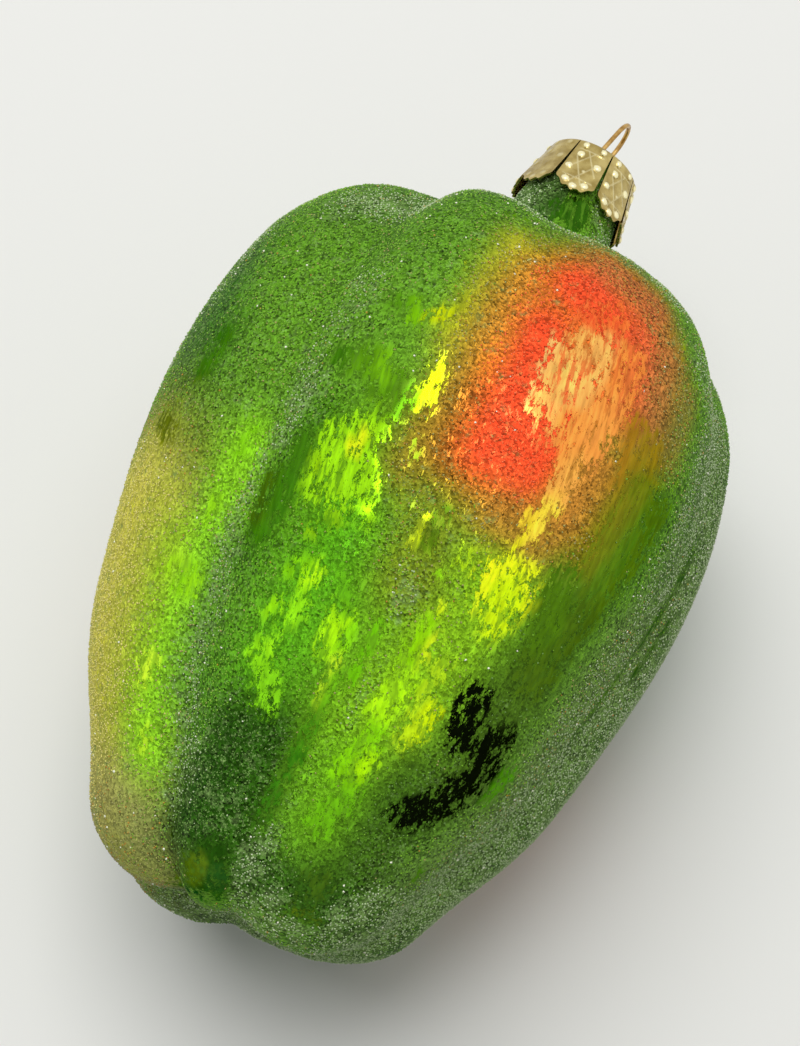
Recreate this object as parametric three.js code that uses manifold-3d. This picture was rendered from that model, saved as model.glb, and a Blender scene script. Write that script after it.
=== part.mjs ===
// Glass bell pepper ornament, lying on its side with its neck along +Y.
// Three pieces: the blown glass body with its open neck, the stamped crown cap that sits
// over the neck, and the spring wire hanger whose legs pass through the cap into the neck.
// Units are millimetres. Shapes are worked out round the neck's axis (Y), then the whole
// ornament is set down on its underside with the origin under the middle of its box.
import * as THREE from 'three';
import { mergeVertices } from 'three/addons/utils/BufferGeometryUtils.js';
import Module from 'manifold-3d';

const wasm = await Module();
wasm.setup();

// Glass body
const BODY_RADIUS = 33.6;        // crown line of a lobe at the widest place
const SHOULDER_HEIGHT = 37.8;    // top of the shoulders, from the origin of the axis
const BLOSSOM_DEPTH = 46.0;      // lowest ring round the blossom end
const BLOSSOM_PIT = 3.0;         // how far the blossom end is drawn in
const STEM_PIT = 2.4;            // how far the neck's foot lies below the shoulders
const STEM_PIT_RADIUS = 10.6;
const GROOVE_DEPTH = 4.3;        // deepest place of a full groove, at the shoulders
const SHOULDER_DIP = 0.5;        // how far a groove lowers the shoulders
const BLOSSOM_DIP = 1.8;         // how far a groove lifts the blossom end
const CROWN_ROUNDNESS = 0.5;     // share of the lobe's section that is a plain arch
const GROOVE_SHARPNESS = 6;      // higher is a narrower groove
const BODY_SHIFT_X = 0.5;        // the body hangs off the neck's axis by this much
const BODY_SHIFT_Z = -0.5;
const BODY_LEAN = 4.3;           // degrees between the body and the neck, seen from above
const WALL = 1.0;

// Neck
const NECK_TOP = 57.0;
const NECK_RADIUS = 5.2;
const NECK_WAIST_RADIUS = 6.0;
const NECK_MIDDLE_RADIUS = 7.1;
const NECK_FOOT_RADIUS = 8.6;
const NECK_WAIST_DROP = 5.2;
const NECK_MIDDLE_DROP = 11.5;
const NECK_FOOT_DROP = 17.5;

// Flat rubbed on the underside, where the ornament rests
const REST_FLAT_CUT = 0.35;

// Crown cap, stamped from thin sheet
const SHEET = 0.3;
const CAP_CLEARANCE = 0.4;
const CAP_SEAT_GAP = 0.3;        // between the glass rim and the plate
const PETALS = 8;
const PETAL_DROP = 8.0;          // from the plate to the petals' tips
const PETAL_FLARE = 1.5;         // how far the tips stand out past the plate's edge
const PETAL_SIDE_SHARE = 0.74;   // where the petal's straight sides end
const PETAL_FLATNESS = 0.7;
const TIP_ROUND_SHARE = 0.96;    // 1 would round the tip right up to the slits
const SLIT_ANGLE = 2.6;          // half of the slit between petals at their tips, degrees
const SLIT_START = 0.3;          // share of that angle where the slit begins
const SCALLOP = 0.35;            // depth of the scallops at the tips
const BEND_RADIUS = 0.6;         // rounded edge of the plate
const BEAD_HEIGHT = 0.22;

// Wire hanger
const WIRE_DIAMETER = 0.6;
const EYE_WIDTH = 5.3;           // between the middles of the two strands
const EYE_STRAIGHT = 4.5;        // straight stretch above the plate
const LEG_LENGTH = 9.5;          // below the top of the plate
const LEG_SPLAY = 0.5;           // how far each tip stands out past the eye
const WIRE_CLEARANCE = 0.3;
const HANGER_LEAN = 11;          // degrees the hanger leans towards +X as it lies

// Fineness of the meshes
const COLUMNS = 60;           // a multiple that puts a column in every groove
const SKIN_ROWS = 38;
const LINING_ROWS = 24;
const PETAL_COLUMNS = 8;
const PETAL_ROWS = 9;
const BEND_ROWS = 2;
const PLATE_RINGS = 3;
const HOLE_SIDES = 16;
const WIRE_SIDES = 8;
const WIRE_STEPS = 52;

// Beads pressed into every petal: the row they are in, and how many columns they stand to
// either side of the petal's middle.
const TIP_ROW = PETAL_ROWS - 1;
const BEADS = [
  { row: 2, side: 1 },
  { row: 2, side: 3 },
  { row: 4, side: 2 },
  { row: 5, side: 0 },
  { row: 6, side: 2 },
  { row: TIP_ROW, side: 0 },
  { row: TIP_ROW, side: 2 },
];

// Crown line of a lobe, from the neck's rim to the blossom end.
// Each row: radius, height, share of the groove's depth, share of the shoulder dip,
// share of the blossom dip, share of the body's shift and lean.
const R = BODY_RADIUS;
const S = SHOULDER_HEIGHT;
const B = BLOSSOM_DEPTH;
const CROWN_LINE = [
  [NECK_RADIUS, NECK_TOP, 0, 0, 0, 0],
  [NECK_WAIST_RADIUS, NECK_TOP - NECK_WAIST_DROP, 0, 0, 0, 0],
  [NECK_MIDDLE_RADIUS, NECK_TOP - NECK_MIDDLE_DROP, 0, 0, 0, 0],
  [NECK_FOOT_RADIUS, NECK_TOP - NECK_FOOT_DROP, 0.02, 0, 0, 0],
  [STEM_PIT_RADIUS, S - STEM_PIT, 0.14, 0.1, 0, 0.2],
  [R * 0.485, S - STEM_PIT * 0.7, 0.42, 0.6, 0, 0.6],
  [R * 0.661, S, 0.7, 0.9, 0, 0.9],
  [R * 0.783, S * 0.949, 0.93, 1, 0, 1],
  [R * 0.893, S * 0.818, 1, 0.6, 0, 1],
  [R * 0.955, S * 0.665, 0.86, 0.2, 0, 1],
  [R, S * 0.381, 0.7, 0, 0, 1],
  [R * 0.982, S * 0.051, 0.6, 0, 0, 1],
  [R * 0.902, B * -0.247, 0.6, 0, 0, 1],
  [R * 0.812, B * -0.517, 0.67, 0, 0.1, 1],
  [R * 0.64, B * -0.762, 0.68, 0, 0.4, 1],
  [R * 0.545, B * -0.919, 0.62, 0, 0.8, 1],
  [R * 0.351, -B, 0.45, 0, 1, 1],
  [R * 0.149, BLOSSOM_PIT * 0.6 - B, 0.32, 0, 0.6, 1],
  [0, BLOSSOM_PIT - B, 0, 0, 0, 1],
];
const LAST_STATION = CROWN_LINE.length - 1;
const LEAN_HEIGHT = NECK_TOP - NECK_FOOT_DROP;

// Grooves by angle round the neck, in degrees from the top (+Z) towards +X, with the share
// of the full depth. Lobe i lies between groove i and the next one. Reach and belly move a
// lobe's crown line outwards, all along and just below the middle; lift shortens its end.
const GROOVES = [
  { angle: -30, depth: 1.0, reach: -0.2, belly: 0, lift: 0 },
  { angle: 6, depth: 0.6, reach: -0.6, belly: 0, lift: 0 },
  { angle: 72, depth: 0.8, reach: -0.7, belly: 0.2, lift: 1.7 },
  { angle: 120, depth: 0.7, reach: -2.0, belly: 3.2, lift: 1.4 },
  { angle: 186, depth: 1.0, reach: 0.4, belly: 4.4, lift: 0 },
  { angle: 258, depth: 1.0, reach: 0.5, belly: 0.8, lift: 0.6 },
];
const BELLY_HEIGHT = -14;
const BELLY_SPREAD = 21;
const LOBE_FADE = 0.6;           // share of the radius below which lobes grow alike

// Smooth curve through the rows above, at any station between the first and the last.
function crownLineAt(station) {
  const i = Math.min(Math.floor(station), LAST_STATION - 1);
  const f = station - i;
  const before = CROWN_LINE[Math.max(i - 1, 0)];
  const here = CROWN_LINE[i];
  const next = CROWN_LINE[i + 1];
  const after = CROWN_LINE[Math.min(i + 2, LAST_STATION)];
  return here.map((value, k) => {
    const slope = next[k] - before[k];
    const bend = 2 * before[k] - 5 * value + 4 * next[k] - after[k];
    const twist = 3 * value - before[k] - 3 * next[k] + after[k];
    return 0.5 * (2 * value + slope * f + bend * f * f + twist * f * f * f);
  });
}

// The lobe at an angle round the neck, and how high its crown and how deep its groove is.
function lobeAt(degrees) {
  const first = GROOVES[0].angle;
  const angle = THREE.MathUtils.euclideanModulo(degrees - first, 360) + first;
  const i = GROOVES.findLastIndex((groove) => groove.angle <= angle);
  const lobe = GROOVES[i];
  const next = GROOVES[(i + 1) % GROOVES.length];
  const width = THREE.MathUtils.euclideanModulo(next.angle - lobe.angle, 360);
  const across = (angle - lobe.angle) / width;
  const arch = Math.sin(Math.PI * across);
  const plateau = 1 - Math.abs(Math.cos(Math.PI * across)) ** GROOVE_SHARPNESS;
  const crown = CROWN_ROUNDNESS * arch + (1 - CROWN_ROUNDNESS) * plateau;
  const depth = THREE.MathUtils.lerp(lobe.depth, next.depth, THREE.MathUtils.smoothstep(across, 0, 1));
  return { lobe, crown, groove: (1 - crown) * depth };
}

function skinPoint(station, degrees) {
  const [radius, height, grooved, shoulder, blossom, body] = crownLineAt(station);
  const { lobe, crown, groove } = lobeAt(degrees);
  const belly = lobe.belly * Math.exp(-(((height - BELLY_HEIGHT) / BELLY_SPREAD) ** 2));
  const full = Math.min(radius / (LOBE_FADE * BODY_RADIUS), 1);
  const swell = crown * (lobe.reach + belly) * body * full;
  const r = Math.max(radius + swell - groove * GROOVE_DEPTH * grooved, 0);
  const dip = SHOULDER_DIP * shoulder - BLOSSOM_DIP * blossom;
  const y = height + crown * lobe.lift * blossom - groove * dip;
  const turn = THREE.MathUtils.degToRad(degrees);
  const lean = THREE.MathUtils.degToRad(BODY_LEAN * body);
  const x = r * Math.sin(turn);
  const below = y - LEAN_HEIGHT;
  return new THREE.Vector3(
    x * Math.cos(lean) - below * Math.sin(lean) + BODY_SHIFT_X * body,
    LEAN_HEIGHT + x * Math.sin(lean) + below * Math.cos(lean),
    r * Math.cos(turn) + BODY_SHIFT_Z * body,
  );
}

// The lining lies one wall inside the skin.
function liningPoint(station, degrees) {
  const step = 0.02;
  const p = skinPoint(station, degrees);
  if (station >= LAST_STATION) return p.add(new THREE.Vector3(0, WALL, 0));
  const above = skinPoint(Math.max(station - step, 0), degrees);
  const down = skinPoint(station + step, degrees).sub(above);
  const round = skinPoint(station, degrees + 1).sub(skinPoint(station, degrees - 1));
  const inwards = round.cross(down).normalize();
  if (station === 0) inwards.setY(0).normalize();
  return p.addScaledVector(inwards, WALL);
}

function ringOf(makePoint, station) {
  const ring = [];
  for (let c = 0; c < COLUMNS; c += 1) {
    ring.push(makePoint(station, (c * 360) / COLUMNS));
  }
  return ring;
}

// Closed skin through rings of points, each ring joined to the next.
function joinRings(rings) {
  const positions = rings.flat().flatMap((p) => p.toArray());
  const index = [];
  for (let r = 0; r + 1 < rings.length; r += 1) {
    for (let c = 0; c < COLUMNS; c += 1) {
      const next = (c + 1) % COLUMNS;
      const a = r * COLUMNS + c;
      const b = r * COLUMNS + next;
      const d = (r + 1) * COLUMNS + c;
      const e = (r + 1) * COLUMNS + next;
      index.push(a, b, d, b, e, d);
    }
  }
  return cleanMesh(positions, index);
}

// Merges equal corners and drops the faces that shrank to nothing.
function cleanMesh(positions, index) {
  const raw = new THREE.BufferGeometry();
  raw.setAttribute('position', new THREE.Float32BufferAttribute(positions, 3));
  raw.setIndex(index);
  const merged = mergeVertices(raw, 1e-4);
  const kept = [];
  const corners = merged.index.array;
  for (let i = 0; i < corners.length; i += 3) {
    const [a, b, c] = corners.slice(i, i + 3);
    if (a !== b && b !== c && a !== c) kept.push(a, b, c);
  }
  merged.setIndex(kept);
  merged.computeVertexNormals();
  return merged;
}

// The rings of a surface, from the neck's rim down to the blossom end.
function ringsOf(makePoint, rows) {
  const rings = [];
  for (let row = 0; row <= rows; row += 1) {
    rings.push(ringOf(makePoint, (row / rows) * LAST_STATION));
  }
  return rings;
}

function glassBody() {
  const skin = ringsOf(skinPoint, SKIN_ROWS);
  const lining = ringsOf(liningPoint, LINING_ROWS);
  const outer = skin.flat();
  const floor = Math.min(...outer.map((p) => p.z)) + REST_FLAT_CUT;
  outer.forEach((p) => p.setZ(Math.max(p.z, floor)));
  return joinRings([...skin.reverse(), ...lining]);
}

// Crown cap: a round plate whose edge turns down into petals. A point of the sheet is given
// by its distance along the sheet from the middle and its place across its petal.
const PLATE_TOP = NECK_TOP + CAP_SEAT_GAP + SHEET;
const CAP_RADIUS = NECK_RADIUS + CAP_CLEARANCE + SHEET;
const PLATE_RADIUS = CAP_RADIUS - BEND_RADIUS;

function petalSection(drop) {
  if (drop < BEND_RADIUS) {
    return PLATE_RADIUS + Math.sqrt(BEND_RADIUS ** 2 - (BEND_RADIUS - drop) ** 2);
  }
  const share = (drop - BEND_RADIUS) / (PETAL_DROP - BEND_RADIUS);
  return CAP_RADIUS + PETAL_FLARE * share;
}

function petalReach(across) {
  const round = Math.sqrt(1 - (TIP_ROUND_SHARE * across) ** 2);
  const scallop = (SCALLOP / PETAL_DROP) * (Math.cos(2 * Math.PI * across) ** 2 - 1);
  return PETAL_SIDE_SHARE + (1 - PETAL_SIDE_SHARE) * round + scallop;
}

function beadAt(row, column) {
  const side = Math.abs(column - PETAL_COLUMNS / 2);
  return BEADS.some((bead) => bead.row === row && bead.side === side) ? BEAD_HEIGHT : 0;
}

function petalPoint(petal, row, column, inset) {
  const across = (column / PETAL_COLUMNS) * 2 - 1;
  const reach = petalReach(across) * PETAL_DROP;
  const drop = row <= BEND_ROWS
    ? BEND_RADIUS * (row / BEND_ROWS)
    : BEND_RADIUS + (reach - BEND_RADIUS) * ((row - BEND_ROWS) / (PETAL_ROWS - BEND_ROWS));
  const down = Math.max(0, (drop - BEND_RADIUS) / (PETAL_DROP - BEND_RADIUS));
  const slit = SLIT_ANGLE * (SLIT_START + (1 - SLIT_START) * down);
  const turned = THREE.MathUtils.degToRad(across * (180 / PETALS - slit));
  const flat = PETAL_FLATNESS * down;
  const spread = 1 + flat * (1 / Math.cos(turned) - 1);
  const outward = inset === 0 ? beadAt(row, column) : -inset;
  const lean = Math.min(drop / BEND_RADIUS, 1) * (Math.PI / 2);
  const r = (petalSection(drop) + outward * Math.sin(lean)) * spread;
  const y = PLATE_TOP - drop + outward * Math.cos(lean);
  const turn = turned + (petal * 2 * Math.PI) / PETALS;
  return new THREE.Vector3(r * Math.sin(turn), y, r * Math.cos(turn));
}

function platePoint(ring, petal, column, inset) {
  const p = petalPoint(petal, 0, column, inset);
  const share = ring / PLATE_RINGS;
  return new THREE.Vector3(p.x * share, p.y, p.z * share);
}

function capSheet(inset) {
  const points = [];
  for (let petal = 0; petal < PETALS; petal += 1) {
    for (let column = 0; column <= PETAL_COLUMNS; column += 1) {
      for (let ring = 0; ring < PLATE_RINGS; ring += 1) {
        points.push(platePoint(ring, petal, column, inset));
      }
      for (let row = 0; row <= PETAL_ROWS; row += 1) {
        points.push(petalPoint(petal, row, column, inset));
      }
    }
  }
  return points;
}

// Faces of the sheet: every petal's own cells, and between two petals only the plate's.
function capCells() {
  const perColumn = PLATE_RINGS + PETAL_ROWS + 1;
  const columns = PETALS * (PETAL_COLUMNS + 1);
  const cells = [];
  for (let c = 0; c < columns; c += 1) {
    const slit = c % (PETAL_COLUMNS + 1) === PETAL_COLUMNS;
    const rows = slit ? PLATE_RINGS : perColumn - 1;
    const a = c * perColumn;
    const b = ((c + 1) % columns) * perColumn;
    for (let r = 0; r < rows; r += 1) {
      cells.push([a + r, a + r + 1, b + r + 1, b + r]);
    }
  }
  return cells;
}

// Gives a sheet its thickness: both faces, and a wall along every free edge.
function thicken(top, under, cells) {
  const positions = [...top, ...under].flatMap((p) => p.toArray());
  const shift = top.length;
  const index = [];
  const edges = new Map();
  for (const [a, b, c, d] of cells) {
    index.push(a, b, c, a, c, d);
    index.push(shift + a, shift + c, shift + b, shift + a, shift + d, shift + c);
    for (const [from, to] of [[a, b], [b, c], [c, d], [d, a]]) {
      if (edges.has(`${to},${from}`)) edges.delete(`${to},${from}`);
      else edges.set(`${from},${to}`, [from, to]);
    }
  }
  for (const [from, to] of edges.values()) {
    index.push(from, shift + from, shift + to, from, shift + to, to);
  }
  return cleanMesh(positions, index);
}

function toSolid(geometry) {
  const bare = geometry.clone();
  bare.deleteAttribute('normal');
  bare.deleteAttribute('uv');
  const merged = mergeVertices(bare, 1e-4);
  return new wasm.Manifold(new wasm.Mesh({
    numProp: 3,
    vertProperties: new Float32Array(merged.attributes.position.array),
    triVerts: new Uint32Array(merged.index.array),
  }));
}

function toGeometry(solid) {
  const mesh = solid.getMesh();
  return cleanMesh([...mesh.vertProperties], [...mesh.triVerts]);
}

function crownCap() {
  let cap = toSolid(thicken(capSheet(0), capSheet(SHEET), capCells()));
  const holeRadius = WIRE_DIAMETER / 2 + WIRE_CLEARANCE;
  for (const side of [-1, 1]) {
    const hole = new THREE.CylinderGeometry(holeRadius, holeRadius, SHEET * 6, HOLE_SIDES);
    hole.translate(0, PLATE_TOP, (side * EYE_WIDTH) / 2);
    cap = cap.subtract(toSolid(hole));
  }
  return toGeometry(cap);
}

// Wire hanger: one leg up through the plate, round the eye and down the other leg.
function hangerRoute() {
  const half = EYE_WIDTH / 2;
  const archFoot = PLATE_TOP + EYE_STRAIGHT;
  const tip = PLATE_TOP - LEG_LENGTH;
  const side = [
    [half + LEG_SPLAY, tip],
    [half + LEG_SPLAY * 0.5, (tip + PLATE_TOP) / 2],
    [half, PLATE_TOP - SHEET * 2],
    [half, PLATE_TOP + SHEET * 2],
    [half, archFoot],
  ];
  const arch = [30, 60, 90, 120, 150].map((degrees) => {
    const turn = THREE.MathUtils.degToRad(degrees);
    return [half * Math.cos(turn), archFoot + half * Math.sin(turn)];
  });
  const other = side.map(([z, y]) => [-z, y]).reverse();
  const points = [...side, ...arch, ...other].map(([z, y]) => new THREE.Vector3(0, y, z));
  return new THREE.CatmullRomCurve3(points, false, 'centripetal');
}

// The wire, leaning in its two holes about the middle of the plate.
function hangerWire() {
  const section = new THREE.Shape();
  section.absarc(0, 0, WIRE_DIAMETER / 2, 0, 2 * Math.PI, false);
  const wire = new THREE.ExtrudeGeometry(section, {
    steps: WIRE_STEPS,
    curveSegments: WIRE_SIDES / 2,
    bevelEnabled: false,
    extrudePath: hangerRoute(),
  });
  const hinge = PLATE_TOP - SHEET / 2;
  wire.translate(0, -hinge, 0);
  wire.rotateZ(-THREE.MathUtils.degToRad(HANGER_LEAN));
  wire.translate(0, hinge, 0);
  return toGeometry(toSolid(wire));
}

function named(name, geometry, look) {
  const mesh = new THREE.Mesh(geometry, new THREE.MeshStandardMaterial(look));
  mesh.name = name;
  return mesh;
}

const ornament = new THREE.Group();
ornament.add(named('glass_body', glassBody(), { color: 0x5f8e2a, roughness: 0.45, metalness: 0.6 }));
ornament.add(named('crown_cap', crownCap(), { color: 0xbdab69, roughness: 0.3, metalness: 1.0 }));
ornament.add(named('hanger_wire', hangerWire(), { color: 0xb58a4e, roughness: 0.3, metalness: 1.0 }));

const box = new THREE.Box3().setFromObject(ornament);
const middle = box.getCenter(new THREE.Vector3());
ornament.position.set(-middle.x, -middle.y, -box.min.z);

export default ornament;
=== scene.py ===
# %% [markdown]
# # A blown glass pepper, frosted and lying on a table
# The real ornament is one bubble of blown glass in the shape of a bell pepper. It is silvered
# inside, so it works like a mirror, sprayed outside with see-through lacquers, and dusted with
# fine grains of clear glass while the lacquer is wet. A stamped cap sits over its neck and a
# wire eye hangs it. The solid model of all three is loaded first, and everything made below
# takes its place and size from it.

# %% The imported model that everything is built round
import math

import bmesh
import bpy
import numpy as np
from mathutils import Matrix, Vector


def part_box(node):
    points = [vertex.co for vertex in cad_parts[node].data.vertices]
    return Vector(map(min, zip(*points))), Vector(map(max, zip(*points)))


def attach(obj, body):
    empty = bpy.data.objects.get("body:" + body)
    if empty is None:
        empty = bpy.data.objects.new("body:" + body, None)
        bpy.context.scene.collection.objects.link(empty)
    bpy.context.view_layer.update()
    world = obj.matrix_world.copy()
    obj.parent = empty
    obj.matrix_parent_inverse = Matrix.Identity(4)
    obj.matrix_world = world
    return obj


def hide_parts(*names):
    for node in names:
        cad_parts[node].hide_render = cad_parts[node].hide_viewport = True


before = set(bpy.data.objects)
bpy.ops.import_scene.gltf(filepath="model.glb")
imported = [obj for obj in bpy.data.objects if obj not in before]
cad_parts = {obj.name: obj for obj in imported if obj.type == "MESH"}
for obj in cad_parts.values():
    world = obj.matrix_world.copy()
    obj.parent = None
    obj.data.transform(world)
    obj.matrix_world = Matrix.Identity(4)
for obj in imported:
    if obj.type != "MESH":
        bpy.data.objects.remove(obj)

MM = 0.001
scene = bpy.context.scene
scene.view_settings.view_transform = "Standard"
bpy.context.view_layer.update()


# %% [markdown]
# ## The neck's axis
# Glass, cap and wire all share the axis of the neck, so places on them are easiest to say as an
# angle round that axis and a height along it. The axis runs along Y through the middle of the
# cap, and the cap's plate gives the height of everything that sits on the neck.

# %% The neck's axis, from the cap's own box
cap_low, cap_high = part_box("crown_cap")
NECK_X = (cap_low.x + cap_high.x) / 2
NECK_Z = (cap_low.z + cap_high.z) / 2
PLATE_TOP = cap_high.y
print("neck axis at x", round(NECK_X / MM, 2), "mm, z", round(NECK_Z / MM, 2), "mm")
print("plate at y", round(PLATE_TOP / MM, 2), "mm")

# %% [markdown]
# ## The camera
# The photograph looks steeply down on the ornament from close by, so the camera stands 23 cm
# away and the near lobe looms a little. Its angles are turned from the pepper's own axis. The
# pepper lies off the middle of the picture, and a small lens shift takes care of that without
# turning the camera.

# %% Camera at the photograph's viewing angle
CAMERA_TURN = math.radians(28.63)
CAMERA_HEIGHT = math.radians(71.36)
CAMERA_DISTANCE = 230 * MM
AIM_BELOW_PLATE = 57.6 * MM
PIXELS_PER_METRE = 8600
PICTURE = (800, 1046)
AIM_PIXEL = (371.6, 553.2)
SENSOR = 36

aim = Vector((NECK_X, PLATE_TOP - AIM_BELOW_PLATE, NECK_Z))
backwards = Vector((
    math.sin(CAMERA_TURN) * math.cos(CAMERA_HEIGHT),
    -math.cos(CAMERA_TURN) * math.cos(CAMERA_HEIGHT),
    math.sin(CAMERA_HEIGHT),
))
sideways = Vector((math.cos(CAMERA_TURN), math.sin(CAMERA_TURN), 0))
upwards = backwards.cross(sideways)

lens = bpy.data.cameras.new("camera")
lens.sensor_width = SENSOR
lens.lens = PIXELS_PER_METRE * CAMERA_DISTANCE / PICTURE[1] * SENSOR
lens.shift_x = (PICTURE[0] / 2 - AIM_PIXEL[0]) / PICTURE[1]
lens.shift_y = (AIM_PIXEL[1] - PICTURE[1] / 2) / PICTURE[1]
lens.clip_start = 0.01
camera = bpy.data.objects.new("camera", lens)
turn = Matrix((sideways, upwards, backwards)).transposed()
camera.matrix_world = Matrix.Translation(aim + backwards * CAMERA_DISTANCE) @ turn.to_4x4()
scene.collection.objects.link(camera)
scene.camera = camera
print("lens", round(lens.lens, 1), "mm, shift", round(lens.shift_x, 4), round(lens.shift_y, 4))

# %% [markdown]
# ## Small helpers for materials and pieces
# A material is a tree of nodes. These helpers add a node and wire it in one line, so that each
# finish below reads as a short recipe. Colours are written as they look on a screen, from 0 to
# 255, and turned into the linear values that the shader works with. Two more helpers turn an
# object with modifiers into a plain mesh, and a mesh into a piece that rides on its body.

# %% Helpers for node trees
def linear(red, green, blue):
    """A colour as seen on screen, 0 to 255, in the shader's linear values."""
    def channel(value):
        value /= 255
        return value / 12.92 if value <= 0.04045 else ((value + 0.055) / 1.055) ** 2.4
    return channel(red), channel(green), channel(blue), 1.0


def add(tree, kind, inputs=None, **settings):
    """A new node with its settings and inputs. An input is a value or another node's socket."""
    node = tree.nodes.new(kind)
    for key, value in settings.items():
        setattr(node, key, value)
    for key, value in (inputs or {}).items():
        if isinstance(value, bpy.types.NodeSocket):
            tree.links.new(value, node.inputs[key])
        else:
            node.inputs[key].default_value = value
    return node


def calculate(tree, operation, a, b):
    return add(tree, "ShaderNodeMath", {0: a, 1: b}, operation=operation).outputs[0]


def rescale(tree, value, low, high, to_low=0.0, to_high=1.0):
    node = add(tree, "ShaderNodeMapRange", {
        "Value": value, "From Min": low, "From Max": high, "To Min": to_low, "To Max": to_high,
    })
    return node.outputs["Result"]


def speckle(tree, place, size, detail=2.0, roughness=0.5):
    """Soft noise from 0 to 1 whose blotches are about size metres across."""
    node = add(tree, "ShaderNodeTexNoise", {
        "Vector": place, "Scale": 1 / size, "Detail": detail, "Roughness": roughness,
    })
    return node.outputs[0]


def blend_numbers(tree, share, first, second):
    return add(tree, "ShaderNodeMix", {0: share, 2: first, 3: second}).outputs[0]


def blend_colours(tree, share, first, second, mode="MIX"):
    """A Mix node has separate sockets for numbers and colours: the colours' are 6, 7 and 2."""
    inputs = {0: share, 6: first, 7: second}
    return add(tree, "ShaderNodeMix", inputs, data_type="RGBA", blend_type=mode).outputs[2]


def value_of(tree, colour):
    """How bright a colour is: its value in hue, saturation and value."""
    return add(tree, "ShaderNodeSeparateColor", {"Color": colour}, mode="HSV").outputs[2]


def new_material(name, **sockets):
    """A material with one Principled shader. Its plain values are set by their sockets' names."""
    material = bpy.data.materials.new(name)
    material.use_nodes = True
    shader = material.node_tree.nodes["Principled BSDF"]
    for key, value in sockets.items():
        shader.inputs[key.replace("_", " ")].default_value = value
    return material, material.node_tree, shader


def attribute(tree, name, output="Fac"):
    return add(tree, "ShaderNodeAttribute", attribute_name=name).outputs[output]


def place_on_object(tree):
    return add(tree, "ShaderNodeTexCoord").outputs["Object"]


# %% Helpers for pieces
def plain_mesh(maker, name):
    """The mesh that an object shows with its modifiers or its bevel. The object is deleted."""
    ready = maker.evaluated_get(bpy.context.evaluated_depsgraph_get())
    mesh = bpy.data.meshes.new_from_object(ready)
    mesh.name = name
    bpy.data.objects.remove(maker)
    return mesh


def new_piece(name, mesh, body):
    piece = bpy.data.objects.new(name, mesh)
    scene.collection.objects.link(piece)
    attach(piece, body)
    return piece


# %% [markdown]
# ## The glass
# A blown shape has no edges at all, only slow curves. The solid model gives the true form in
# flat facets, so the skin starts as a copy of it: equal corners are merged, the triangles are
# joined back into quads, and a subdivision surface rounds the quads. Quads matter here, because
# a mirror shows every ripple that stray triangles would leave.

# %% The skin, as a smooth copy of the solid
SKIN_LEVELS = 2
SAME_CORNER = 0.005 * MM
FLAT_ENOUGH = math.radians(50)
SQUARE_ENOUGH = math.radians(60)


def smooth_copy(node, name, levels):
    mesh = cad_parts[node].data.copy()
    mesh.name = name
    mesh.materials.clear()
    work = bmesh.new()
    work.from_mesh(mesh)
    bmesh.ops.remove_doubles(work, verts=work.verts, dist=SAME_CORNER)
    bmesh.ops.join_triangles(
        work, faces=work.faces, angle_face_threshold=FLAT_ENOUGH, angle_shape_threshold=SQUARE_ENOUGH,
    )
    left = sum(len(face.verts) == 3 for face in work.faces)
    print(name, "has", len(work.faces), "faces before rounding,", left, "of them triangles")
    work.to_mesh(mesh)
    work.free()
    rough = bpy.data.objects.new(name + "_rough", mesh)
    scene.collection.objects.link(rough)
    rounding = rough.modifiers.new("rounding", "SUBSURF")
    rounding.levels = rounding.render_levels = levels
    result = plain_mesh(rough, name)
    result.shade_smooth()
    return result


skin_mesh = smooth_copy("glass_body", "pepper_glass", SKIN_LEVELS)
print("skin:", len(skin_mesh.vertices), "vertices")

# %% [markdown]
# ## Where the lacquer goes
# The colours were sprayed on in soft clouds, one over the other. That is easy to copy on the
# vertices: each spray has a place, a width and a length on the skin, and a colour, and it fades
# out round its middle. The darkest greens at the lower end are painted shade in the same form.
# Every point's colour is then stored in the mesh as an attribute, which the material reads. The
# same list form says where the glass was left bare of frost.

# %% Angle round the neck and height along it, for every vertex
points = np.empty(len(skin_mesh.vertices) * 3)
skin_mesh.vertices.foreach_get("co", points)
points = points.reshape(-1, 3)
from_axis = points - (NECK_X, 0, NECK_Z)
angles = np.degrees(np.arctan2(from_axis[:, 0], from_axis[:, 2]))
heights = points[:, 1] / MM
arc = np.radians(np.hypot(from_axis[:, 0], from_axis[:, 2])) / MM
print("skin reaches from", round(heights.min(), 1), "to", round(heights.max(), 1), "mm along the axis")


def stroke(start, end, width, edge=2):
    """1 along a line between two places on the skin, falling to 0 at about its width, in mm."""
    right = ((angles - start[0] + 180) % 360 - 180) * arc
    up = heights - start[1]
    run, rise = (end[0] - start[0]) * arc, end[1] - start[1]
    share = np.clip((right * run + up * rise) / (run ** 2 + rise ** 2 + 1e-9), 0, 1)
    away = np.hypot(right - run * share, up - rise * share)
    return np.exp(-(away / width) ** edge)
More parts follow.
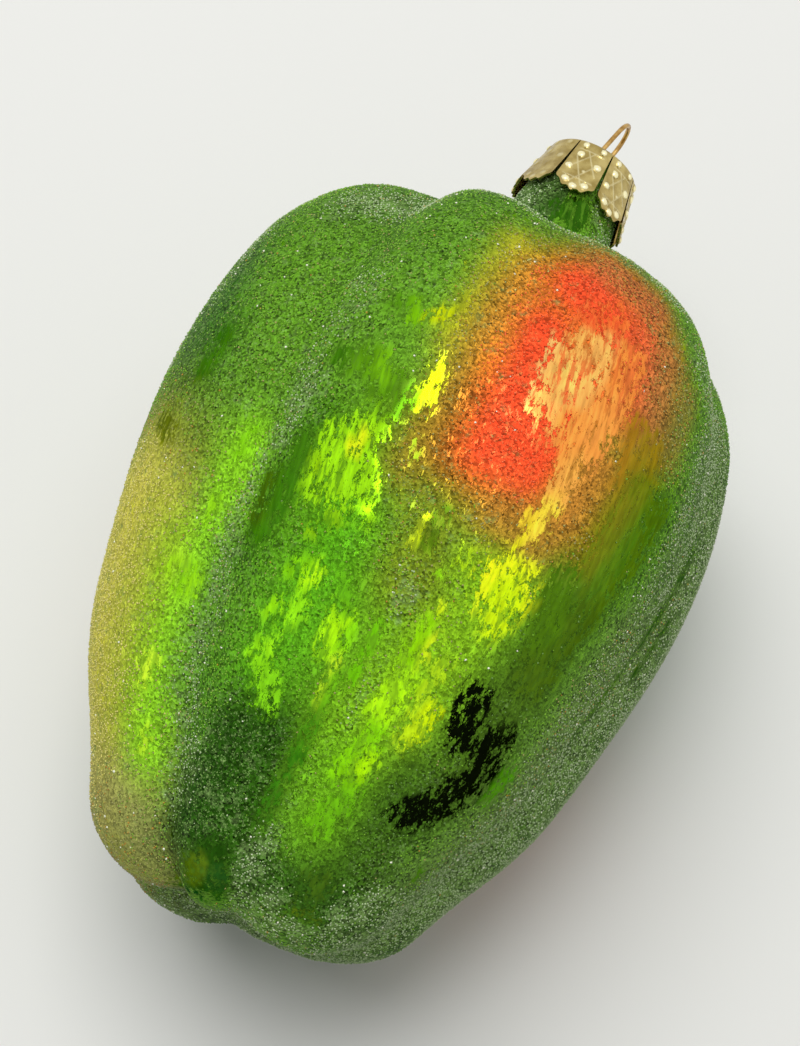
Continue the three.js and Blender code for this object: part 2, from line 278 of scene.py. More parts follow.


# %% Sprayed colours and painted shade: from where to where (degrees, mm), width in mm, colour, strength
GREEN = (92, 142, 34)
RED = (240, 80, 42)
TAN = (206, 198, 88)
LACQUER_AND_SHADE_SPRAYS = [
    # the neck, darker than the fruit
    ((-180, 36), (180, 36), 9, (62, 90, 40), 0.9),
    # the left shoulder, deep green, and the pale green top
    ((-62, 10), (-54, -6), 6, (58, 98, 38), 0.85),
    ((-48, 0), (-46, -6), 3, (66, 118, 22), 0.7),
    ((-40, 20), (-28, 22), 5, (74, 112, 34), 0.7),
    ((-20, 18), (0, 18), 5, (84, 128, 34), 0.5),
    # olive, then tan on the left lobe
    ((-56, -12), (-40, -16), 4.0, (84, 120, 18), 0.9),
    ((-60, -21), (-62, -46), 9, TAN, 1.0),
    ((-44, -22), (-44, -44), 4, (176, 182, 64), 0.85),
    ((-36, -24), (-34, -42), 3, (146, 180, 40), 0.85),
    ((-40, -50), (-10, -53), 4, (140, 142, 80), 0.8),
    ((-28, -12), (-27, -44), 3, (134, 200, 34), 0.85),
    ((-20, -24), (-18, -36), 3, (88, 138, 40), 0.8),
    ((-60, -50), (-150, -54), 5, (168, 162, 92), 0.9),
    ((-170, -54.5), (-240, -54), 4, (84, 100, 56), 0.9),
    # painted shade along the lower end, round towards the underside
    ((64, -48), (150, -51), 5, (36, 60, 22), 0.9),
    # fresh green on the lobes in the middle
    ((-12, -8), (-13, -22), 3, (66, 118, 18), 0.9),
    ((0, -6), (-2, -18), 5, (86, 136, 22), 0.85),
    ((6, -18), (4, -32), 6, (82, 154, 20), 0.9),
    ((20, -22), (18, -32), 5, (94, 152, 26), 0.7),
    ((32, -14), (30, -34), 5.5, (130, 180, 26), 0.8),
    ((28, -38), (36, -42), 4.5, (112, 176, 28), 0.9),
    # brown and orange round the red cheek
    ((4, 20), (4, 6), 2.6, (172, 176, 40), 0.85),
    ((8, 14), (8, -8), 3.2, (146, 116, 36), 0.85),
    ((14, -10), (18, -18), 4, (112, 126, 28), 0.8),
    ((9, 18), (9, 8), 2.2, (194, 140, 46), 0.8),
    ((10.5, 6.5), (11, 4), 1.4, (222, 142, 44), 0.9),
    ((12, 2), (13, -5), 2.6, (148, 98, 30), 0.85),
    ((20, 19), (30, 17), 4.5, RED, 1.0),
    ((17, 12), (19, -3), 3.3, RED, 1.0),
    ((26, 8), (25, -3), 4.2, RED, 1.0),
    ((36, 17), (38, 10), 3.4, (226, 96, 50), 0.9),
    ((26, -8), (34, -8), 3, (166, 114, 42), 0.8),
    ((38, 2), (38, -4), 3, (192, 118, 48), 0.8),
    ((24, 24), (36, 23), 3, (196, 96, 62), 0.75),
    ((42, 18), (44, 9), 3, (176, 108, 58), 0.8),
    ((50, 16), (50, 8), 2.5, (138, 118, 52), 0.7),
    # olive and dark green past the red
    ((46, 6), (44, -6), 2.6, (128, 116, 18), 0.9),
    ((54, 4), (53, -10), 3, (72, 118, 16), 0.95),
    ((48, -14), (50, -20), 4, (60, 96, 12), 0.95),
    # the lower end: darker greens painted as its shade, and a lighter green in a groove
    ((-2, -40), (3, -48), 4, (28, 64, 12), 0.95),
    ((8, -38), (12, -48), 4, (40, 80, 14), 0.95),
    ((-11, -35), (-10, -41), 2.0, (84, 140, 34), 0.7),
    ((44, -36), (48, -44), 5, (60, 96, 22), 0.9),
    ((48, -22), (52, -32), 4, (68, 100, 22), 0.9),
    ((26, -50), (50, -49), 3, (42, 80, 18), 0.85),
    # the grey green flank on the right
    ((72, 14), (74, -44), 6, (70, 104, 34), 0.9),
    ((66, -10), (68, -40), 4.5, (100, 128, 62), 0.85),
    ((80, 0), (80, -12), 4, (112, 140, 72), 0.8),
    ((90, 14), (92, -44), 8, (58, 90, 30), 0.9),
    # the side that lies down, with its own cheek of red and patch of tan
    ((124, -16), (126, -34), 6, (216, 68, 40), 0.95),
    ((138, -10), (142, -36), 4, (176, 128, 46), 0.8),
    ((150, 20), (152, -30), 9, (80, 132, 30), 0.8),
    ((186, 24), (186, -40), 3, (62, 100, 34), 0.8),
    ((212, 10), (212, -18), 8, (222, 84, 42), 0.95),
    ((226, 8), (224, -24), 5, (170, 126, 44), 0.8),
    ((244, -20), (242, -44), 6, TAN, 0.9),
    ((262, 20), (262, -10), 7, (84, 130, 34), 0.7),
    ((180, -46), (250, -50), 5, (60, 96, 30), 0.8),
]


def paint(colour, strokes, edge, reach):
    """Strokes over a colour. A larger edge ends a stroke more sharply, a larger reach later."""
    for start, end, width, screen_colour, strength in strokes:
        share = np.clip(stroke(start, end, width, edge) * reach, 0, 1)[:, None] * strength
        colour = colour * (1 - share) + np.array(linear(*screen_colour)[:3]) * share
    return colour


# The lacquer's colours, with the shade painted at the lower end
lacquer = np.tile(linear(*GREEN)[:3], (len(points), 1))
lacquer = paint(lacquer, LACQUER_AND_SHADE_SPRAYS, edge=2, reach=1.2)
print("sprays:", len(LACQUER_AND_SHADE_SPRAYS), "over", GREEN)

# %% [markdown]
# ## Where the frost is thick, thin or missing
# The grains lie thick in the grooves and on the flanks, thin over the middle of the lobes, and
# in some places they never stuck or were rubbed off, so that the mirror shows. One number for
# each point says it all: 1 is thick frost, 0.5 is thin, and below 0 it is bare.

# %% Thick and thin frost: from, to, width, how thick
USUAL_FROST = 0.56
NECK_FROST = 0.85
NECK_LENGTH = 22
FROST_EDGE = 3
FROST = [
    # thin over the lobes
    ((-28, -10), (-26, -42), 3.0, 0.44),
    ((0, -16), (4, -30), 6.0, 0.44),
    ((14, -22), (14, -36), 3.5, 0.42),
    ((30, -22), (32, -38), 6.0, 0.42),
    ((-4, 4), (4, 0), 4.5, 0.48),
    ((26, 14), (26, -2), 6.0, 0.52),
    ((44, 6), (48, -16), 3.5, 0.36),
    ((38, -17), (39, -23), 3.5, 0.4),
    ((55, -13), (55, -22), 2.5, 0.44),
    ((34, -42), (38, -45), 4.0, 0.4),
    # thick in the grooves
    ((-20, 9), (-19, -3), 3.0, 0.74),
    ((-19, -3), (-20, -13), 2.2, 0.86),
    ((-20, -13), (-23, -20), 1.8, 0.86),
    ((-22, -20), (-20, -38), 2.6, 0.76),
    ((-18, -38), (-8, -46), 2.6, 0.8),
    ((17, -16), (20, -22), 1.4, 0.74),
    ((22, -28), (24, -33), 1.2, 0.72),
    # thick on the shoulders, the flanks and the lower end
    ((-42, 21), (-26, 24), 3.6, 0.95),
    ((-64, 20), (-70, -10), 4.0, 0.85),
    ((-66, -12), (-68, -44), 4.0, 0.7),
    ((14, -40), (8, -48), 4.0, 0.62),
    ((24, -47), (26, -51), 1.8, 0.85),
    ((30, -51.5), (46, -53), 2.4, 0.85),
    ((60, -46), (50, -51.5), 2.4, 0.9),
    ((60, -51.5), (140, -52), 3.0, 0.85),
    ((-60, -52), (-180, -55), 3.0, 0.8),
    ((42, -4), (42, -8), 1.0, 0.7),
    ((62, 14), (64, -2), 2.4, 0.85),
    ((64, -4), (66, -34), 2.6, 0.8),
    ((76, 20), (76, -46), 4.5, 1.0),
    ((92, 10), (94, -40), 7.0, 1.0),
    ((62, 20), (54, 22), 2.6, 0.85),
    # the far side
    ((120, 20), (120, -40), 4.0, 1.0),
    ((186, 22), (186, -42), 4.0, 1.0),
    ((258, 22), (258, -42), 4.0, 1.0),
    ((150, 6), (152, -26), 6.0, 0.44),
    ((212, 6), (212, -20), 7.0, 0.46),
    ((284, 6), (284, -20), 7.0, 0.46),
]

frost = np.full(len(points), USUAL_FROST)
for start, end, width, thickness in FROST:
    share = stroke(start, end, width, FROST_EDGE)
    frost = frost * (1 - share) + thickness * share
frost = np.where(heights > PLATE_TOP / MM - NECK_LENGTH, NECK_FROST, frost)
print("frost:", len(FROST), "places, thickness", round(frost.mean(), 2), "on average")

# %% Bare places: from, to, width, the reflection painted there as the mirror's colour, strength
LIME = (162, 232, 20)
YELLOW = (240, 255, 26)
ORANGE = (255, 190, 92)
PEACH = (255, 192, 108)
GOLD = (255, 214, 104)
BLACK = (8, 13, 3)
BARE = [
    # the lime patch in the middle and the smooth green band beside it
    ((-9.5, -9), (-9, -13.5), 1.0, LIME, 1),
    ((-5, -7.5), (-6, -14), 1.8, LIME, 0.86),
    ((-2, -7), (-2.5, -14.5), 1.8, LIME, 0.86),
    ((1.5, -10.5), (4.5, -14.5), 0.9, LIME, 0.9),
    ((-3, -8), (-3.5, -10), 0.5, YELLOW, 1),
    ((-8.5, -12.5), (-8, -13.5), 0.5, (150, 206, 8), 1),
    ((-14, -10.5), (-13, -15.7), 1.1, (66, 122, 12), 1),
    ((-13, -15.7), (-14.5, -20.5), 1.4, (64, 124, 12), 1),
    ((-18.5, -14), (-17.5, -19.5), 0.9, (72, 108, 14), 1),
    ((-16, -0.5), (-12, -1), 1.4, (62, 118, 12), 1),
    ((-9, -0.5), (-1, -2.5), 1.8, (92, 150, 14), 1),
    ((-7, 0.5), (-5, -1.5), 0.8, (118, 184, 16), 1),
    ((0, -17), (-3, -18.6), 0.6, (136, 196, 14), 1),
    ((6, -6), (8, -8), 0.5, (112, 150, 16), 0.9),
    # flecks of the top
    ((-7, 7), (-5.5, 5.5), 1.0, (124, 192, 10), 1),
    ((-2.5, 7), (0, 8), 0.8, (196, 214, 10), 1),
    ((0.5, 9), (1, 10.5), 0.5, (200, 214, 20), 0.9),
    ((-2.5, 15.5), (-2.5, 14.5), 0.3, (190, 210, 30), 1),
    ((3, 2), (4.5, -2), 0.8, (196, 214, 16), 1),
    ((-11, 7), (-9, 7), 0.8, (88, 148, 16), 0.9),
    # flecks on the left lobe
    ((-28.5, -10.5), (-29.5, -13.5), 0.8, (136, 214, 20), 1),
    ((-29.5, -26), (-30.5, -28.5), 0.9, (140, 212, 20), 1),
    ((-34, -25.8), (-36, -27), 0.9, (158, 216, 30), 1),
    ((-27, -26.8), (-27.5, -28.2), 0.9, (156, 228, 24), 1),
    ((-30, -18.5), (-30.5, -20.5), 0.6, (150, 220, 24), 0.95),
    ((-29, -42.5), (-30, -44.5), 0.6, (176, 222, 40), 0.95),
    ((-32, -35.8), (-34, -37.6), 0.8, (206, 246, 50), 1),
    ((-46, -1), (-47, -6), 1.2, (64, 118, 16), 1),
    ((-55, -12), (-50, -13), 1.4, (112, 124, 16), 1),
    # the orange reflection painted in the red cheek
    ((23, 17), (24, 13), 1.1, (250, 112, 52), 0.8),
    ((28, 18), (29, 14), 1.5, (250, 118, 50), 0.85),
    ((20.5, 10.5), (22, 5), 1.3, PEACH, 1),
    ((25.5, 12), (25.5, 4), 2.1, ORANGE, 0.92),
    ((31, 13), (29, 5), 2.4, (255, 184, 92), 0.92),
    ((34.5, 15), (35, 9), 1.4, (250, 146, 60), 1),
    ((34, 8), (34, 3), 1.8, (252, 158, 68), 0.9),
    ((29, 4), (32, 0), 1.4, (252, 160, 68), 1),
    ((33, 0), (32.5, -4), 1.1, (254, 176, 76), 1),
    ((24.5, 9), (25.5, 7.5), 0.6, GOLD, 1),
    # the gold patch, and the yellow patch below it
    ((33, -4.8), (32.7, -8), 1.1, (254, 222, 62), 1),
    ((30.8, -6.2), (30.6, -7.8), 0.6, (250, 214, 50), 1),
    ((31.6, -8.6), (31.4, -9.6), 0.5, (232, 224, 30), 1),
    ((31, -12.8), (33, -15.4), 1.7, YELLOW, 1),
    ((35, -11.8), (37.5, -14), 1.5, YELLOW, 1),
    ((35, -14.5), (36, -17), 1.5, (206, 240, 16), 1),
    # smooth olive and green past the red
    ((41, 9), (42, 3), 1.3, (172, 122, 26), 1),
    ((45.5, 8), (46.5, -2), 1.8, (148, 122, 22), 1),
    ((49, 3), (47, -8), 2.2, (112, 124, 18), 1),
    ((54, 3), (51, -10), 1.8, (86, 122, 16), 1),
    ((49, -12), (49, -19), 2.4, (74, 106, 14), 1),
    ((42, -9), (45, -15), 1.6, (76, 116, 12), 1),
    # streaks on the middle lobe
    ((1.5, -21.3), (1, -24.2), 0.7, (180, 250, 20), 1),
    ((-1.5, -21.5), (-4, -23.8), 0.6, (131, 210, 16), 0.95),
    ((-3, -25.7), (-4, -28.5), 0.5, (145, 221, 16), 1),
    ((1.5, -25.5), (1, -28), 0.9, (150, 232, 24), 1),
    ((-2, -30.5), (-2.3, -32), 0.8, (150, 232, 24), 1),
    ((0, -30), (1, -33), 0.5, (160, 236, 24), 0.95),
    ((2, -33), (5, -35.5), 1.2, (138, 220, 24), 0.85),
    ((9, -25.5), (10.5, -28.4), 0.9, (170, 240, 20), 1),
    ((11.5, -24.5), (11, -26.5), 0.6, (169, 235, 14), 1),
    ((13.5, -25), (13.5, -27.5), 0.6, (140, 221, 16), 0.9),
    ((7, -21), (10, -23.5), 0.8, (104, 181, 18), 0.75),
    ((17.5, -23.5), (19, -30), 0.7, (113, 194, 11), 1),
    ((14, -28.5), (15.5, -32.8), 0.5, (185, 228, 34), 0.95),
    ((16, -30), (17, -33), 0.6, (104, 181, 18), 0.85),
    ((26, -19.3), (26, -22.2), 0.5, (215, 240, 23), 1),
    ((25.5, -21.5), (26.5, -26), 0.8, (140, 208, 9), 1),
    ((28, -22.5), (28.5, -24.5), 0.5, (210, 235, 27), 0.9),
    ((27.5, -27.5), (27, -31), 1.3, (176, 245, 20), 1),
    ((32, -24), (33, -28), 0.8, (181, 221, 23), 0.8),
    ((36, -28.5), (36, -31.5), 0.8, (210, 242, 7), 1),
    ((33, -29.5), (34.5, -32), 0.7, (188, 226, 23), 0.85),
    ((29, -33.5), (28.5, -37), 1.2, (134, 212, 14), 1),
    ((32, -35), (31.3, -38), 0.7, (169, 233, 9), 1),
    ((33, -39), (33, -43), 1.4, (104, 179, 11), 0.8),
    ((16.5, -34), (18, -39), 0.7, (66, 132, 12), 0.9),
    ((18.5, -39), (19.5, -45), 0.8, (54, 120, 11), 0.9),
    ((15.2, -11.8), (14.8, -16), 0.5, (208, 228, 27), 0.95),
    ((17.5, -10.5), (17.5, -15.2), 0.8, (77, 106, 11), 1),
    ((22, -15.5), (22.8, -16.8), 0.6, (127, 190, 14), 0.9),
    ((24, -12.5), (25, -14.5), 0.7, (169, 210, 16), 0.8),
    # a painted reflection of something dark
    ((40.5, -24.3), (43.5, -24.6), 0.7, BLACK, 0.9),
    ((41.8, -25), (43, -27.2), 1.6, BLACK, 0.9),
    ((43, -27.5), (44, -29), 1.0, BLACK, 0.81),
    ((46, -28.8), (50, -27.8), 0.8, BLACK, 0.81),
    ((51, -25.3), (53.5, -26.3), 1.2, BLACK, 0.77),
    ((50, -27.5), (52, -29.5), 1.2, BLACK, 0.81),
    ((52, -30.3), (52, -31.2), 1.4, BLACK, 0.9),
    ((52, -31.5), (52, -33.2), 0.9, BLACK, 0.9),
    ((51.5, -33.3), (52.5, -34.3), 1.4, BLACK, 0.9),
    ((50, -34.8), (48.7, -36), 1.1, BLACK, 0.9),
    ((48.7, -36.6), (48.2, -37.6), 1.4, BLACK, 0.9),
    ((52, -36), (52.5, -37), 0.9, BLACK, 0.81),
    ((40, -33), (38.5, -34), 0.5, (30, 50, 8), 0.8),
    ((44, -36), (45, -37.5), 0.6, (26, 44, 8), 0.8),
    # the lower end and the flank
    ((13, -51), (14.5, -53), 1.7, (34, 76, 8), 1),
    ((9.5, -52.3), (10.5, -52.9), 1.0, (84, 112, 16), 1),
    ((19, -52), (23.5, -53.3), 0.9, (34, 80, 20), 0.95),
    ((59, -29.3), (59.5, -30.8), 1.7, (80, 148, 18), 1),
    ((42, -48), (44, -49.5), 1.5, (64, 92, 8), 0.7),
    ((44, -51.3), (52, -51), 0.5, (84, 108, 10), 0.8),
    ((62, -41), (63, -42), 0.7, (70, 124, 14), 0.9),
    ((77, 6), (74, -8), 0.7, (76, 104, 20), 1),
    ((80, -2), (79, -10), 0.6, (72, 102, 24), 1),
    ((74, -10), (73, -20), 0.5, (84, 118, 26), 0.9),
    # the neck
    ((2, 38), (12, 37), 2.2, (50, 104, 8), 1),
    ((14, 40), (22, 38), 1.4, (46, 94, 10), 0.9),
    # the far side
    ((120, -18), (124, -26), 1.8, ORANGE, 0.88),
    ((124, -28), (128, -34), 1.3, (250, 150, 60), 0.88),
    ((98, 4), (100, -4), 1.1, (88, 148, 24), 0.88),
    ((146, 8), (148, -2), 1.6, LIME, 0.88),
    ((154, -8), (152, -18), 1.4, (110, 180, 20), 0.88),
    ((142, -20), (146, -28), 1.1, YELLOW, 0.88),
    ((164, 4), (166, -10), 1.3, (70, 128, 14), 0.88),
    ((172, -20), (170, -30), 1.2, (104, 174, 18), 0.88),
    ((206, 6), (210, -4), 1.8, ORANGE, 0.88),
    ((214, -6), (216, -14), 1.4, GOLD, 0.88),
    ((220, 8), (222, 0), 1.0, (250, 150, 60), 0.88),
    ((236, -10), (238, -18), 1.3, LIME, 0.88),
    ((246, 6), (248, -4), 1.4, (88, 140, 18), 0.88),
    ((272, 4), (274, -8), 1.6, LIME, 0.88),
    ((282, -14), (280, -24), 1.4, (118, 186, 22), 0.88),
    ((290, 6), (292, -4), 1.0, YELLOW, 0.88),
    ((276, -30), (280, -36), 1.0, (160, 190, 40), 0.88),
    ((148, 10), (149, 7), 0.7, YELLOW, 0.9),
    ((157, -12), (156, -16), 0.6, LIME, 0.9),
    ((240, -6), (241, -8), 0.6, YELLOW, 0.9),
    ((233, -20), (234, -23), 0.8, LIME, 0.85),
    ((269, -12), (270, -16), 0.8, (118, 186, 22), 0.9),
    ((278, 8), (276, 5), 0.7, LIME, 0.9),
    ((286, -8), (287, -11), 0.7, YELLOW, 0.85),
]

# A painted reflection of something dark, frosted over or not
PAINTED_DARK_REFLECTION = [
    ((41.5, -24.5), (43.5, -28.5), 2.2, BLACK, 1),
    ((46, -28.6), (53, -26), 1.8, BLACK, 1),
    ((51, -28), (52, -34), 2.6, BLACK, 1),
    ((51, -35), (46.5, -38), 2.2, BLACK, 1),
]
# The mirror's colour is painted reflection: the lacquer made lighter, with the strokes above over it
PAINTED_REFLECTION_GAIN = 1.7
FULLY_BARE = -0.08
BARE_EDGE = 1.8
LOOKS_BARE = 0.25

mirror = paint(lacquer * PAINTED_REFLECTION_GAIN, BARE, edge=3, reach=8)
mirror = paint(mirror, PAINTED_DARK_REFLECTION, edge=4, reach=4)
for start, end, width, _, strength in BARE:
    share = stroke(start, end, width, BARE_EDGE) * strength
    frost = frost * (1 - share) + FULLY_BARE * share
bare_share = float((frost < LOOKS_BARE).mean())
print("bare places:", len(BARE), "on", round(bare_share * 100, 1), "% of the points")

# %% [markdown]
# ## What the mesh remembers
# Materials and grains both need to know what lies at a point of the skin, so it is stored there
# under a name. Besides the lacquer with its painted shade, the mirror's colour with its painted
# reflections and the frost, these are how near the lacquer comes to each colour of grains, and how
# many grains stick there at all. Green and dark places give way to pale grains where the frost is
# thick. Tan, olive and red lacquer lies more evenly on the real glass, which "even" says.

# %% The attributes that materials and grains read
def store(mesh, name, values):
    kind = "FLOAT_COLOR" if values.ndim == 2 else "FLOAT"
    layer = mesh.attributes.new(name, kind, "POINT")
    if values.ndim == 2:
        rgba = np.concatenate([values, np.ones((len(values), 1))], axis=1)
        layer.data.foreach_set("color", rgba.astype(np.float32).ravel())
    else:
        layer.data.foreach_set("value", values.astype(np.float32))


GRAINS = {
    "green": ((92, 146, 32), (128, 178, 54)),
    # dark grains also carry the shade painted at the lower end
    "dark": ((48, 84, 20), (110, 146, 72)),
    "olive": ((140, 140, 66), (164, 162, 96)),
    "amber": ((156, 114, 42), (186, 142, 62)),
    "red": ((232, 86, 44), (246, 116, 70)),
    "tan": ((192, 188, 76), (214, 206, 120)),
}
COOL = ("green", "dark")
COLOUR_REACH = 0.11
THICK_ABOVE = 0.6
THICK_RISE = 3
NONE_BELOW = 0.3
AMOUNT_RISE = 2.6
LEAST_AMOUNT = 0.12
RED_EVENNESS = 0.5

thick = np.clip((frost - THICK_ABOVE) * THICK_RISE, 0, 1)
amount = np.clip((frost - NONE_BELOW) * AMOUNT_RISE, LEAST_AMOUNT, 1)
store(skin_mesh, "lacquer", lacquer)
store(skin_mesh, "mirror", np.clip(mirror, 0, 1))
store(skin_mesh, "frost", frost)
nearness = {}
for name, (lacquer_below, _) in GRAINS.items():
    away = np.linalg.norm(lacquer - linear(*lacquer_below)[:3], axis=1)
    nearness[name] = np.exp(-(away / COLOUR_REACH) ** 2) + 1e-5
total = sum(nearness.values())
cool = sum(nearness[name] for name in COOL) / total
even = (nearness["tan"] + nearness["olive"] + RED_EVENNESS * nearness["red"]) / total
store(skin_mesh, "pale", cool * thick * amount)
store(skin_mesh, "cool", cool)
store(skin_mesh, "even", even)
store(skin_mesh, "glint", amount)
for name, near in nearness.items():
    share = near / total * amount
    store(skin_mesh, name, share * (1 - thick) if name in COOL else share)
    print("grains of", name, "on", round(float(share.mean()) * 100, 1), "% of the skin")

# %% [markdown]
# ## The ragged edge of the frost
# Frost doesn't end in a soft fade: grains either stuck or they didn't, in flakes that run along
# the pepper the way it was brushed. The soft bare spots are therefore roughened with noise that
# is stretched along the pepper, and cut off sharply. Material and grains build the same nodes
# from this one function, so both agree on where the frost is.

# %% One recipe for the frost's edge, for materials and for Geometry Nodes
FLAKE = 0.75 * MM
FLAKE_STRETCH = 2.2
BRUSH_ANGLE = math.radians(-12)
RAGGEDNESS = 4.0
COVER_START, COVER_END = 0.23, 0.27


def brushed(tree, place, stretch):
    """The place turned to the brushing and pressed together along it, which stretches noise."""
    inputs = {"Vector": place, "Angle": BRUSH_ANGLE}
    turned = add(tree, "ShaderNodeVectorRotate", inputs, rotation_type="Z_AXIS").outputs[0]
    inputs = {0: turned, 1: (1, 1 / stretch, 1)}
    return add(tree, "ShaderNodeVectorMath", inputs, operation="MULTIPLY").outputs[0]


def frost_cover(tree, place, frost_value):
    """1 where grains stuck, 0 where the glass is bare."""
    flakes = speckle(tree, brushed(tree, place, FLAKE_STRETCH), FLAKE, detail=6.0, roughness=0.8)
    rough = calculate(tree, "MULTIPLY", calculate(tree, "SUBTRACT", flakes, 0.5), RAGGEDNESS)
    level = calculate(tree, "ADD", frost_value, rough)
    return rescale(tree, level, COVER_START, COVER_END)


# %% [markdown]
# ## The skin's finish
# Under the frost lies a mirror: metal seen through coloured lacquer. So the shader is metallic,
# with the lacquer as the metal's colour, and a clear coat on top where the glass is bare. Under
# the grains the mirror is broken up, so there it is rough and mottled with painted glints and
# shade, less so where the frost is thin or the lacquer lies evenly. On the bare places the
# mirror's colour holds painted reflections, broken into painted streaks, and small waves in the
# blown glass bump it.

# %% Frosted and lacquered mirror glass
FROST_GREY = linear(111, 139, 78)

skin_look, tree, shader = new_material("frosted_lacquer", IOR=1.5, Coat_Roughness=0.05)
shader.inputs["Specular IOR Level"].default_value = 0.2
shader.inputs["Specular Tint"].default_value = (0.3, 0.36, 0.16, 1.0)
place = place_on_object(tree)
frost_value = attribute(tree, "frost")
cover = frost_cover(tree, place, frost_value)
lacquer_and_shade_colour = attribute(tree, "lacquer", "Color")


def grey(value):
    return add(tree, "ShaderNodeCombineColor", {0: value, 1: value, 2: value}).outputs[0]


# %% The frosted ground: painted glints and shade make each grain lighter or darker than the next
GRAIN = 0.24 * MM
DARKEST_GRAIN, LIGHTEST_GRAIN = 0.32, 1.86
GAP_SHARE = 0.16
GAP_SHADE = 0.22
EVEN_CONTRAST = 0.5
EVEN_LIFT = 0.54

grain_cells = add(tree, "ShaderNodeTexVoronoi", {"Vector": place, "Scale": 1 / GRAIN, "Randomness": 1.0})
cell = add(tree, "ShaderNodeSeparateColor", {"Color": grain_cells.outputs["Color"]}).outputs
mottle = speckle(tree, place, 2.5 * MM, detail=5.0, roughness=0.65)
clumps = speckle(tree, place, 1.5 * MM, detail=5.0, roughness=0.75)
thickness = calculate(tree, "ADD", frost_value, rescale(tree, clumps, 0.3, 0.7, -0.42, 0.42))
thick_share = rescale(tree, thickness, 0.66, 0.95, 0.0, 0.72)
crumbs = speckle(tree, place, 0.42 * MM, detail=5.0, roughness=0.8)
crumb_share = calculate(
    tree, "MULTIPLY", rescale(tree, crumbs, 0.56, 0.6, 0.0, 0.9), rescale(tree, frost_value, 0.4, 0.58),
)
crumb_share = calculate(tree, "MULTIPLY", crumb_share, attribute(tree, "cool"))
grey_share = calculate(tree, "MAXIMUM", thick_share, crumb_share)
frost_colour = blend_colours(tree, grey_share, lacquer_and_shade_colour, FROST_GREY)

# Painted glints and shade on the grains, and painted shade in the gaps between them
level = rescale(tree, cell[0], 0, 1, DARKEST_GRAIN, LIGHTEST_GRAIN)
gap = calculate(tree, "LESS_THAN", cell[1], GAP_SHARE)
level = calculate(tree, "SUBTRACT", level, calculate(tree, "MULTIPLY", gap, GAP_SHADE))
level = calculate(tree, "MULTIPLY", level, rescale(tree, mottle, 0.3, 0.7, 0.84, 1.16))
even_level = calculate(tree, "ADD", calculate(tree, "MULTIPLY", level, EVEN_CONTRAST), EVEN_LIFT)
thin_share = rescale(tree, frost_value, 0.52, 0.42, 0.0, 0.6)
even_share = calculate(tree, "MAXIMUM", attribute(tree, "even"), thin_share)
level = blend_numbers(tree, even_share, level, even_level)
frosted = blend_colours(tree, 1.0, frost_colour, grey(level), "MULTIPLY")

# %% The bare mirror: its painted reflections in long brushed streaks, a little darker and lighter
STREAK_STRETCH = 6.25

streaky_place = brushed(tree, place, STREAK_STRETCH)
painted_streaks = speckle(tree, streaky_place, 0.45 * MM, detail=3.0, roughness=0.5)
under_streaks = speckle(tree, streaky_place, 1.0 * MM, detail=6.0, roughness=0.75)
mirror_and_painted_reflection = attribute(tree, "mirror", "Color")
not_black = rescale(tree, value_of(tree, mirror_and_painted_reflection), 0.02, 0.1)
lacquer_share = rescale(tree, under_streaks, 0.52, 0.57, 0.0, 0.7)
lacquer_share = calculate(tree, "MULTIPLY", lacquer_share, not_black)
two_tone = blend_colours(tree, lacquer_share, mirror_and_painted_reflection, lacquer_and_shade_colour)
painted_streak_level = rescale(tree, painted_streaks, 0.32, 0.68, 0.8, 1.24)
shiny = blend_colours(tree, 1.0, two_tone, grey(painted_streak_level), "MULTIPLY")

# %% Frost and mirror together
MIRROR_ROUGHNESS, FROST_ROUGHNESS = 0.16, 0.5
MIRROR_METAL, FROST_METAL = 1.0, 0.6

colour = blend_colours(tree, cover, shiny, frosted)
tree.links.new(colour, shader.inputs["Base Color"])
metal = rescale(tree, cover, 0, 1, MIRROR_METAL, FROST_METAL)
tree.links.new(metal, shader.inputs["Metallic"])
roughness = rescale(tree, cover, 0, 1, MIRROR_ROUGHNESS, FROST_ROUGHNESS)
tree.links.new(roughness, shader.inputs["Roughness"])
bare = calculate(tree, "SUBTRACT", 1.0, cover)
coat_where_bright = rescale(tree, value_of(tree, shiny), 0.01, 0.1, 0.0, 0.05)
coat = calculate(tree, "MULTIPLY", bare, coat_where_bright)
tree.links.new(coat, shader.inputs["Coat Weight"])
waves = speckle(tree, place, 4 * MM, detail=1.0)
wave_bump = add(tree, "ShaderNodeBump", {"Strength": 0.5, "Distance": 0.4 * MM, "Height": waves})
grain_height = calculate(tree, "MULTIPLY", grain_cells.outputs["Distance"], cover)
grain_bump = add(tree, "ShaderNodeBump", {
    "Strength": 0.7, "Distance": 0.1 * MM, "Height": grain_height, "Normal": wave_bump.outputs[0],
})
tree.links.new(grain_bump.outputs[0], shader.inputs["Normal"])
skin_mesh.materials.append(skin_look)
print("skin finish:", len(tree.nodes), "nodes")

# %% [markdown]
# ## The silvering inside
# With the cap off, the open neck shows the silver that lines the glass. The skin has an inner
# wall too, so the lining is only a second material on the faces of that wall. A walk from face
# to face, which starts at the widest point outside and stops at the neck's rim, finds the
# outside. What it doesn't reach is the lining.

# %% The lining's material and its faces
LINING = 1
SILVER_SPOTS = 2.0 * MM
RIM_DEPTH = 0.05 * MM

